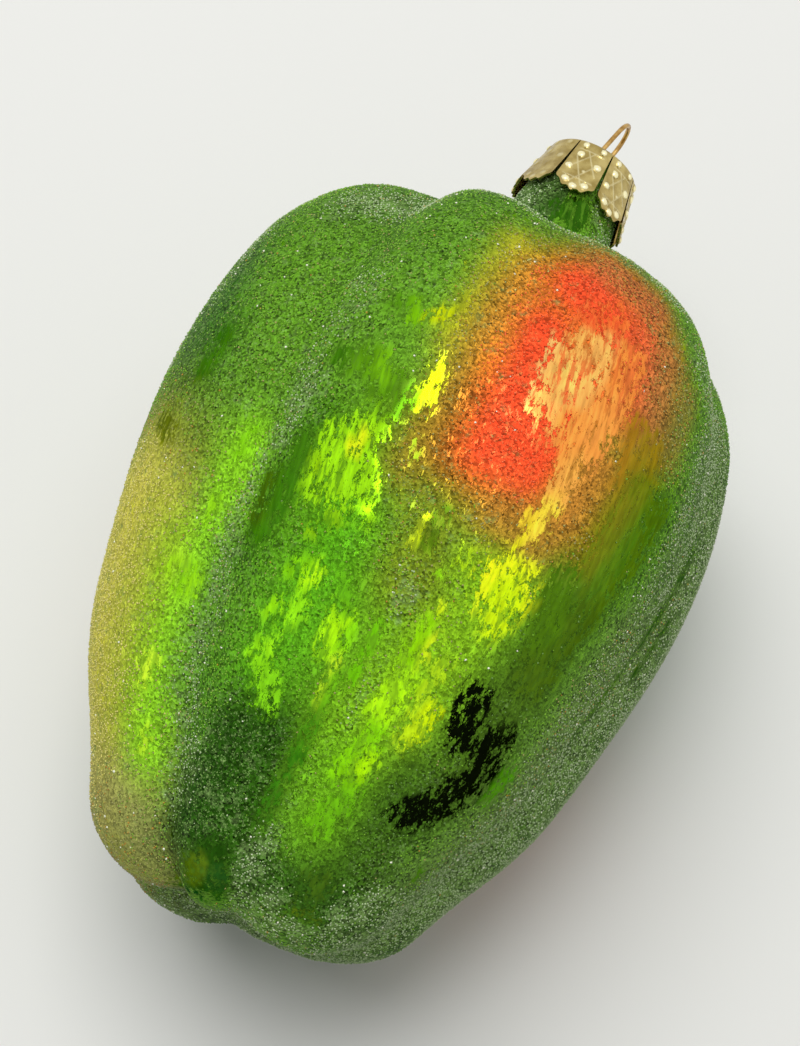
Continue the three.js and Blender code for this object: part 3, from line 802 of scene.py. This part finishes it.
silvering, tree, shader = new_material("silvering", Metallic=1.0)
place = place_on_object(tree)
spots = speckle(tree, place, SILVER_SPOTS, detail=4.0)
spot_share = rescale(tree, spots, 0.35, 0.65)
silver = blend_colours(tree, spot_share, linear(206, 208, 204), linear(160, 166, 156))
tree.links.new(silver, shader.inputs["Base Color"])
tree.links.new(rescale(tree, spots, 0.3, 0.7, 0.12, 0.34), shader.inputs["Roughness"])
skin_mesh.materials.append(silvering)

work = bmesh.new()
work.from_mesh(skin_mesh)
rim = max(vertex.co.y for vertex in work.verts) - RIM_DEPTH
start = max(work.faces, key=lambda face: face.calc_center_median().x)
skin_faces = {start}
front = [start]
while front:
    for edge in front.pop().edges:
        for face in edge.link_faces:
            if face not in skin_faces and face.calc_center_median().y < rim:
                skin_faces.add(face)
                front.append(face)
for face in work.faces:
    face.material_index = 0 if face in skin_faces else LINING
work.to_mesh(skin_mesh)
work.free()

pepper = new_piece("pepper_glass", skin_mesh, "pepper")
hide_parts("glass_body")
print("glass:", len(skin_faces), "faces outside,", len(skin_mesh.polygons) - len(skin_faces), "inside")

# %% [markdown]
# ## The frost's grains
# The sparkle comes from real grains, each a chip of clear glass a quarter of a millimetre
# across. Modelled by hand they would never end, so Geometry Nodes sows them: points are spread
# over the skin, those on bare places are deleted with the same recipe as above, and each point
# gets a chip of eight faces, turned and sized at random. A chip picks up the lacquer under it,
# so there is one sowing for each colour of lacquer. The two commonest colours are sown in two
# halves, so that no piece gets too many faces.

# %% The tree that sows grains
CLUMP = 0.6 * MM
CLEAR_OF_TABLE = 0.35 * MM
UNDER_CAP = 2.5 * MM
SMALLEST, LARGEST = 0.5, 1.4


def grain_tree():
    tree = bpy.data.node_groups.new("sow_grains", "GeometryNodeTree")
    sockets = [
        ("Skin", "INPUT", "NodeSocketGeometry"),
        ("Density", "INPUT", "NodeSocketFloat"),
        ("Grain Size", "INPUT", "NodeSocketFloat"),
        ("Where", "INPUT", "NodeSocketString"),
        ("Seed", "INPUT", "NodeSocketInt"),
        ("From", "INPUT", "NodeSocketFloat"),
        ("To", "INPUT", "NodeSocketFloat"),
        ("Material", "INPUT", "NodeSocketMaterial"),
        ("Grains", "OUTPUT", "NodeSocketGeometry"),
    ]
    for name, side, kind in sockets:
        tree.interface.new_socket(name=name, in_out=side, socket_type=kind)
    given = tree.nodes.new("NodeGroupInput").outputs

    def named(name):
        node = add(tree, "GeometryNodeInputNamedAttribute", {"Name": name}, data_type="FLOAT")
        return node.outputs["Attribute"]

    def compare(a, operation, b):
        inputs = {"A": a, "B": b}
        return add(tree, "FunctionNodeCompare", inputs, data_type="FLOAT", operation=operation).outputs[0]

    def three_random(low, high):
        inputs = {0: (low, low, low), 1: (high, high, high), "Seed": given["Seed"]}
        return add(tree, "FunctionNodeRandomValue", inputs, data_type="FLOAT_VECTOR").outputs[0]

    place = add(tree, "GeometryNodeInputPosition").outputs[0]
    clump = rescale(tree, speckle(tree, place, CLUMP, detail=2.0), 0.4, 0.6, 0.0, 2.0)
    density = calculate(tree, "MULTIPLY", given["Density"], named(given["Where"]))
    density = calculate(tree, "MULTIPLY", density, clump)
    spread = add(tree, "GeometryNodeDistributePointsOnFaces", {
        "Mesh": given["Skin"], "Density": density, "Seed": given["Seed"],
    }, distribute_method="RANDOM")
    axes = add(tree, "ShaderNodeSeparateXYZ", {0: place}).outputs
    cover = frost_cover(tree, place, named("frost"))
    chance = add(tree, "FunctionNodeRandomValue", {"Seed": given["Seed"]}, data_type="FLOAT").outputs[1]
    drop = compare(cover, "LESS_THAN", rescale(tree, chance, 0, 1, 0.04, 0.9))
    for value, operation, limit in (
        (axes[0], "LESS_THAN", given["From"]),
        (axes[0], "GREATER_EQUAL", given["To"]),
        (axes[2], "LESS_THAN", CLEAR_OF_TABLE),
        (axes[1], "GREATER_THAN", PLATE_TOP - UNDER_CAP),
    ):
        inputs = {0: drop, 1: compare(value, operation, limit)}
        drop = add(tree, "FunctionNodeBooleanMath", inputs, operation="OR").outputs[0]
    inputs = {"Geometry": spread.outputs["Points"], "Selection": drop}
    kept = add(tree, "GeometryNodeDeleteGeometry", inputs, domain="POINT")
    chip = add(tree, "GeometryNodeMeshUVSphere", {"Segments": 4, "Rings": 2, "Radius": 0.5})
    inputs = {0: three_random(SMALLEST, LARGEST), "Scale": given["Grain Size"]}
    scaled = add(tree, "ShaderNodeVectorMath", inputs, operation="SCALE")
    chips = add(tree, "GeometryNodeInstanceOnPoints", {
        "Points": kept.outputs[0], "Instance": chip.outputs["Mesh"],
        "Rotation": three_random(0, math.tau), "Scale": scaled.outputs[0],
    })
    solid = add(tree, "GeometryNodeRealizeInstances", {"Geometry": chips.outputs[0]})
    inputs = {"Geometry": solid.outputs[0], "Material": given["Material"]}
    made = add(tree, "GeometryNodeSetMaterial", inputs)
    finish = tree.nodes.new("NodeGroupOutput")
    tree.links.new(made.outputs[0], finish.inputs[0])
    return tree


sow_grains = grain_tree()
inputs_of_sowing = {item.name: item.identifier for item in sow_grains.interface.items_tree}


# %% The field that grains are sown on: the skin without its lining
outside_mesh = skin_mesh.copy()
work = bmesh.new()
work.from_mesh(outside_mesh)
lining = [face for face in work.faces if face.material_index == LINING]
bmesh.ops.delete(work, geom=lining, context="FACES")
work.to_mesh(outside_mesh)
work.free()
print("grains are sown on", len(outside_mesh.polygons), "of", len(skin_mesh.polygons), "faces")


# %% Sowing one colour of grains
CHIP = 0.25
LAYERS_TO_KEEP = ("position", ".edge_verts", ".corner_vert", ".corner_edge", "material_index")


def sow(name, material, where, seed, density, size=CHIP, start=-1.0, end=1.0):
    """Grains of one colour: density to the square millimetre, size in mm, from x start to end."""
    field = bpy.data.objects.new(name, outside_mesh)
    scene.collection.objects.link(field)
    sowing = field.modifiers.new("sowing", "NODES")
    sowing.node_group = sow_grains
    values = {
        "Density": density / MM ** 2, "Grain Size": size * MM, "Where": where,
        "Seed": seed, "From": start, "To": end, "Material": material,
    }
    for key, value in values.items():
        sowing[inputs_of_sowing[key]] = value
    mesh = plain_mesh(field, name)
    for layer in [layer.name for layer in mesh.attributes]:
        if layer not in LAYERS_TO_KEEP:
            mesh.attributes.remove(mesh.attributes[layer])
    print(name, len(mesh.polygons) // 8, "grains with", len(mesh.polygons), "faces")
    return new_piece(name, mesh, "pepper")


def grain_look(name, colour, shine=0.15):
    return new_material(
        name, Base_Color=linear(*colour), Roughness=0.25, Specular_IOR_Level=shine,
    )[0]


HALVES_MEET = -2 * MM
GRAINS_PER_MM2 = 6.0
DARK_SHARE = 0.7
GLINTS_PER_MM2 = 0.05
GLINT_CHIP = 0.32
looks = {name: grain_look(name + "_grains", colour) for name, (_, colour) in GRAINS.items()}
looks["pale"] = grain_look("pale_grains", (176, 196, 148))
looks["glint"] = grain_look("clear_grains", (240, 242, 216), shine=0.5)
for seed, name in enumerate(["green", "pale"], start=1):
    sow("frost_" + name + "_left", looks[name], name, seed, GRAINS_PER_MM2, end=HALVES_MEET)
    sow("frost_" + name + "_right", looks[name], name, seed + 10, GRAINS_PER_MM2, start=HALVES_MEET)
for seed, name in enumerate(["amber", "red", "tan", "olive"], start=3):
    sow("frost_" + name, looks[name], name, seed, GRAINS_PER_MM2)
sow("frost_dark", looks["dark"], "dark", 8, GRAINS_PER_MM2 * DARK_SHARE)
sow("frost_glint", looks["glint"], "glint", 7, GLINTS_PER_MM2, size=GLINT_CHIP)

# %% [markdown]
# ## The crown cap
# The cap is stamped from thin gold-coloured sheet: a round plate whose edge turns down into
# petals, with beads and crossed ribs pressed out of each petal. It is a grid bent round the
# neck: each point has a place across its petal and down it, and the pressing lifts it outwards.
# A second, plain grid inside gives the sheet its thickness.

# %% Sizes of the cap, the same as the solid's
PETALS = 8
PETAL_DROP = 8.0 * MM
PETAL_FLARE = 1.5 * MM
SHEET = 0.3 * MM
CAP_RADIUS = 5.9 * MM
BEND_RADIUS = 0.6 * MM
SIDE_SHARE = 0.74
TIP_ROUND_SHARE = 0.96
FLATNESS = 0.7
SLIT_ANGLE = math.radians(2.6)
SLIT_START = 0.3
SCALLOP = 0.35 * MM
ACROSS_CELLS = 36
DOWN_CELLS = 48
BEND_CELLS = 5
PLATE_CELLS = 5
PETAL_HALF_WIDTH = 2.3 * MM

# Beads: place across the petal from its middle (1 is the slit), place down it, radius, height
BEADS = [
    (-0.52, 0.1, 0.42, 0.3), (0.52, 0.1, 0.42, 0.3), (-0.5, 0.3, 0.5, 0.3), (0.62, 0.42, 0.5, 0.32),
    (-0.72, 0.58, 0.44, 0.3), (0.1, 0.6, 0.26, 0.14), (-0.5, 0.84, 0.46, 0.3), (0.0, 0.92, 0.46, 0.3),
    (0.5, 0.84, 0.46, 0.3),
]
# Ribs: from one place to another
RIBS = [
    ((-0.7, 0.2), (0.7, 0.2)), ((-0.62, 0.36), (0.3, 0.86)), ((0.62, 0.36), (-0.3, 0.86)),
    ((-0.75, 0.76), (0.75, 0.76)), ((-0.2, 0.2), (0.72, 0.62)), ((0.2, 0.2), (-0.72, 0.62)),
]
RIB_WIDTH = 0.13 * MM
RIB_HEIGHT = 0.1 * MM
BEAD_HEIGHT = 0.3 * MM
FLATTENED_PETAL = 7
FLATTENED_SHARE = 0.3
print("cap:", PETALS, "petals, each with", len(BEADS), "beads and", len(RIBS), "ribs")


# %% A point of the cap's sheet
def pressing(across, down):
    """How far beads and ribs lift the sheet at a place on a petal."""
    def spot(across, down):
        return Vector((across * PETAL_HALF_WIDTH, down * PETAL_DROP))

    here = spot(across, down)
    lift = 0.0
    for bead_across, bead_down, radius, height in BEADS:
        away = (here - spot(bead_across, bead_down)).length / (radius * MM)
        if away < 1:
            lift = max(lift, height * MM * math.sqrt(1 - away * away))
    for start, end in RIBS:
        a, b = spot(*start), spot(*end)
        share = min(max((here - a).dot(b - a) / (b - a).length_squared, 0), 1)
        away = (here - a.lerp(b, share)).length / RIB_WIDTH
        lift = max(lift, RIB_HEIGHT * math.exp(-away * away))
    return lift


def petal_point(petal, row, column, inset, lift):
    """A point of a petal's grid, inset into the sheet, and how far it is pressed outwards."""
    across = column / ACROSS_CELLS * 2 - 1
    rounded = math.sqrt(1 - (TIP_ROUND_SHARE * across) ** 2)
    scallop = SCALLOP / PETAL_DROP * (math.cos(2 * math.pi * across) ** 2 - 1)
    reach = (SIDE_SHARE + (1 - SIDE_SHARE) * rounded + scallop) * PETAL_DROP
    if row <= BEND_CELLS:
        bend = math.pi / 2 * row / BEND_CELLS
        drop = BEND_RADIUS * (1 - math.cos(bend))
        radius = CAP_RADIUS - BEND_RADIUS * (1 - math.sin(bend))
    else:
        bend = math.pi / 2
        drop = BEND_RADIUS + (reach - BEND_RADIUS) * (row - BEND_CELLS) / (DOWN_CELLS - BEND_CELLS)
        radius = CAP_RADIUS + PETAL_FLARE * (drop - BEND_RADIUS) / (PETAL_DROP - BEND_RADIUS)
    down = max(0.0, (drop - BEND_RADIUS) / (PETAL_DROP - BEND_RADIUS))
    slit = SLIT_ANGLE * (SLIT_START + (1 - SLIT_START) * down)
    turned = across * (math.pi / PETALS - slit)
    spread = 1 + FLATNESS * down * (1 / math.cos(turned) - 1)
    pressed = lift * pressing(across, drop / PETAL_DROP)
    if petal == FLATTENED_PETAL:
        pressed *= FLATTENED_SHARE
    outward = pressed - inset
    radius = (radius + outward * math.sin(bend)) * spread
    y = PLATE_TOP - drop + outward * math.cos(bend)
    angle = turned + petal * math.tau / PETALS
    return Vector((NECK_X + radius * math.sin(angle), y, NECK_Z + radius * math.cos(angle))), pressed


# %% The cap's mesh: two grids, joined along every free edge
CAP_SAME_CORNER = 0.002 * MM
CAP_NO_EDGE = 0.001 * MM
CAP_SHARP_FROM = math.radians(48)


def cap_face(inset, lift):
    """Columns of points, from the middle of the plate to the petal's tip."""
    columns = []
    middle = Vector((NECK_X, PLATE_TOP - inset, NECK_Z))
    for petal in range(PETALS):
        for column in range(ACROSS_CELLS + 1):
            edge, _ = petal_point(petal, 0, column, inset, 0)
            edge.y = PLATE_TOP - inset
            plate = [(middle.lerp(edge, ring / PLATE_CELLS), 0.0) for ring in range(PLATE_CELLS)]
            petal_rows = [petal_point(petal, row, column, inset, lift) for row in range(DOWN_CELLS + 1)]
            columns.append(plate + petal_rows)
    return columns


def cap_mesh():
    top, under = cap_face(0, 1), cap_face(SHEET, 0)
    rows = len(top[0])
    spots = [spot for columns in (top, under) for column in columns for spot in column]
    shift = len(top) * rows
    faces, edges = [], {}
    for c in range(len(top)):
        in_slit = c % (ACROSS_CELLS + 1) == ACROSS_CELLS
        a, b = c * rows, (c + 1) % len(top) * rows
        for r in range(PLATE_CELLS if in_slit else rows - 1):
            quad = (a + r, a + r + 1, b + r + 1, b + r)
            faces.append(quad)
            faces.append(tuple(shift + corner for corner in reversed(quad)))
            for one, two in zip(quad, quad[1:] + quad[:1]):
                if (two, one) in edges:
                    del edges[two, one]
                else:
                    edges[one, two] = True
    faces += [(one, shift + one, shift + two, two) for one, two in edges]
    mesh = bpy.data.meshes.new("crown_cap_pressed")
    mesh.from_pydata([point for point, _ in spots], [], faces)
    store(mesh, "pressed", np.array([pressed for _, pressed in spots]) / BEAD_HEIGHT)
    work = bmesh.new()
    work.from_mesh(mesh)
    bmesh.ops.remove_doubles(work, verts=work.verts, dist=CAP_SAME_CORNER)
    bmesh.ops.dissolve_degenerate(work, edges=work.edges, dist=CAP_NO_EDGE)
    bmesh.ops.recalc_face_normals(work, faces=work.faces)
    work.to_mesh(mesh)
    work.free()
    mesh.shade_smooth()
    mesh.set_sharp_from_angle(angle=CAP_SHARP_FROM)
    return mesh


# %% Gold finish and the cap itself
gold, tree, shader = new_material("stamped_gold", Metallic=1.0)
place = place_on_object(tree)
tarnish = speckle(tree, place, 1.6 * MM, detail=4.0)
tarnish_share = rescale(tree, tarnish, 0.35, 0.65)
gold_colour = blend_colours(tree, tarnish_share, linear(204, 184, 118), linear(164, 142, 80))
# Raised beads and ribs are painted lighter: partly rubbed metal, partly a painted highlight
bead_polish_and_highlight = rescale(tree, attribute(tree, "pressed"), 0.12, 0.6)
gold_colour = blend_colours(tree, bead_polish_and_highlight, gold_colour, linear(255, 246, 196))
tree.links.new(gold_colour, shader.inputs["Base Color"])
tree.links.new(rescale(tree, tarnish, 0.3, 0.7, 0.2, 0.34), shader.inputs["Roughness"])
dents = speckle(tree, place, 0.5 * MM, detail=2.0)
dent_bump = add(tree, "ShaderNodeBump", {"Strength": 0.25, "Distance": 0.05 * MM, "Height": dents})
tree.links.new(dent_bump.outputs[0], shader.inputs["Normal"])

cap = new_piece("crown_cap_pressed", cap_mesh(), "cap")
cap.data.materials.append(gold)
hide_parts("crown_cap")
print("cap:", len(cap.data.polygons), "faces")

# %% [markdown]
# ## The hanger
# One piece of spring wire: up through the cap's plate, round in an eye and down again, with its
# legs sprung apart in the neck. The middle line is a smooth curve, and a bevel on the curve gives
# it the wire's round section. It leans a little in its two holes, as it was left lying.

# %% The wire hanger
WIRE = 0.6 * MM
EYE_WIDTH = 5.3 * MM
EYE_STRAIGHT = 4.5 * MM
LEG_LENGTH = 9.5 * MM
LEG_SPLAY = 0.5 * MM
LEAN = math.radians(11)
ARCH_STEPS = 24
WIRE_SHARP_FROM = math.radians(50)


def hanger_route():
    """The wire's middle line: up one leg, round the eye and down the other leg."""
    half = EYE_WIDTH / 2
    foot = PLATE_TOP + EYE_STRAIGHT
    tip = PLATE_TOP - LEG_LENGTH
    side = [
        (half + LEG_SPLAY, tip), (half + LEG_SPLAY / 2, (tip + PLATE_TOP) / 2),
        (half, PLATE_TOP - 2 * SHEET), (half, PLATE_TOP + 2 * SHEET),
    ]
    arch = [math.pi * step / ARCH_STEPS for step in range(ARCH_STEPS + 1)]
    round_top = [(half * math.cos(turn), foot + half * math.sin(turn)) for turn in arch]
    flat = side + round_top + [(-z, y) for z, y in reversed(side)]
    hinge = PLATE_TOP - SHEET / 2
    lean_x, lean_y = math.sin(LEAN), math.cos(LEAN)
    return [
        Vector((NECK_X + (y - hinge) * lean_x, hinge + (y - hinge) * lean_y, NECK_Z + z))
        for z, y in flat
    ]


def wire_mesh(name, route, thickness):
    line = bpy.data.curves.new(name, "CURVE")
    line.dimensions = "3D"
    line.bevel_depth = thickness / 2
    line.bevel_resolution = 4
    line.use_fill_caps = True
    spline = line.splines.new("POLY")
    spline.points.add(len(route) - 1)
    for point, spot in zip(spline.points, route):
        point.co = (*spot, 1)
    wire = bpy.data.objects.new(name, line)
    scene.collection.objects.link(wire)
    mesh = plain_mesh(wire, name)
    mesh.shade_smooth()
    mesh.set_sharp_from_angle(angle=WIRE_SHARP_FROM)
    return mesh


wire_look, tree, shader = new_material("drawn_wire", Metallic=1.0)
place = place_on_object(tree)
wire_spots = speckle(tree, place, 1.2 * MM, detail=3.0)
spot_share = rescale(tree, wire_spots, 0.35, 0.65)
wire_colour = blend_colours(tree, spot_share, linear(212, 174, 106), linear(156, 116, 60))
tree.links.new(wire_colour, shader.inputs["Base Color"])
tree.links.new(rescale(tree, wire_spots, 0.3, 0.7, 0.18, 0.32), shader.inputs["Roughness"])
round_wire = wire_mesh("hanger_wire_round", hanger_route(), WIRE)
hanger = new_piece("hanger_wire_round", round_wire, "hanger")
hanger.data.materials.append(wire_look)
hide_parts("hanger_wire")
print("wire:", len(round_wire.polygons), "faces")

# %% [markdown]
# ## Table and light
# The pepper lies on white paper in soft daylight from behind. A wide lamp above its far side
# gives the gentle shadow towards the viewer, and an even, dim sky fills the rest. The lamp's
# level is set so that the paper comes out just short of white. Far away the lamp doesn't reach
# the paper, which would end in a grey edge under the sky. So it fades into the sky's colour
# there, for the camera and for what mirrors it. A light path tells what a ray is for, and rays
# that only carry light still meet plain paper.

# %% The paper
PAPER_SIZE = 6.0
SKY_COLOUR = (0.985, 0.99, 1.0, 1.0)
SKY_SEEN = 0.95
FADE_START, FADE_END = 0.22, 0.8


def looked_at(tree):
    """1 for rays of the camera and for those that a mirror or a glass shows, 0 for lighting."""
    ray = add(tree, "ShaderNodeLightPath").outputs
    seen = calculate(tree, "MAXIMUM", ray["Is Camera Ray"], ray["Is Glossy Ray"])
    return calculate(tree, "MAXIMUM", seen, ray["Is Transmission Ray"])


paper_mesh = bpy.data.meshes.new("paper")
half = PAPER_SIZE / 2
corners = [(-half, -half, 0), (half, -half, 0), (half, half, 0), (-half, half, 0)]
paper_mesh.from_pydata(corners, [], [(0, 1, 2, 3)])
paper = bpy.data.objects.new("paper", paper_mesh)
scene.collection.objects.link(paper)
paper_look, tree, shader = new_material("paper", Base_Color=linear(226, 226, 222), Roughness=0.8)
length = add(tree, "ShaderNodeVectorMath", {0: place_on_object(tree)}, operation="LENGTH")
distance = length.outputs["Value"]
fade = rescale(tree, distance, FADE_START, FADE_END)
far_away = calculate(tree, "MULTIPLY", fade, looked_at(tree))
glow = add(tree, "ShaderNodeEmission", {"Color": SKY_COLOUR, "Strength": SKY_SEEN})
faded = add(tree, "ShaderNodeMixShader", {0: far_away, 1: shader.outputs[0], 2: glow.outputs[0]})
tree.links.new(faded.outputs[0], tree.nodes["Material Output"].inputs["Surface"])
paper_look.cycles.emission_sampling = "NONE"
paper_mesh.materials.append(paper_look)
print("paper:", PAPER_SIZE, "m wide, fading from", FADE_START, "m to", FADE_END, "m away")

# %% The sky and the lamp
SKY = 0.29
LAMP_POWER = 8.6
LAMP_SIZE = 0.84
LAMP_PLACE = aim + upwards * 0.6 + backwards * 0.8 - sideways * 0.12
GLINT_POWER = 0.8
GLINT_SIZE = 0.4
GLINT_PLACE = aim + upwards * 0.3 + backwards * 0.62 + sideways * 0.15

world = bpy.data.worlds.new("room")
scene.world = world
world.use_nodes = True
tree = world.node_tree
sky = tree.nodes["Background"]
sky.inputs["Color"].default_value = SKY_COLOUR
tree.links.new(rescale(tree, looked_at(tree), 0, 1, SKY, SKY_SEEN), sky.inputs["Strength"])


def lamp(name, place, size, power, target, mirrored):
    light = bpy.data.lights.new(name, "AREA")
    light.shape = "DISK"
    light.size = size
    light.energy = power
    holder = bpy.data.objects.new(name, light)
    scene.collection.objects.link(holder)
    holder.location = place
    holder.rotation_euler = (target - place).to_track_quat("-Z", "Y").to_euler()
    holder.visible_glossy = mirrored
    print(name, "lamp:", power, "W,", size, "m across")


lamp("window", LAMP_PLACE, LAMP_SIZE, LAMP_POWER, aim, mirrored=False)
lamp("glint", GLINT_PLACE, GLINT_SIZE, GLINT_POWER, aim, mirrored=True)
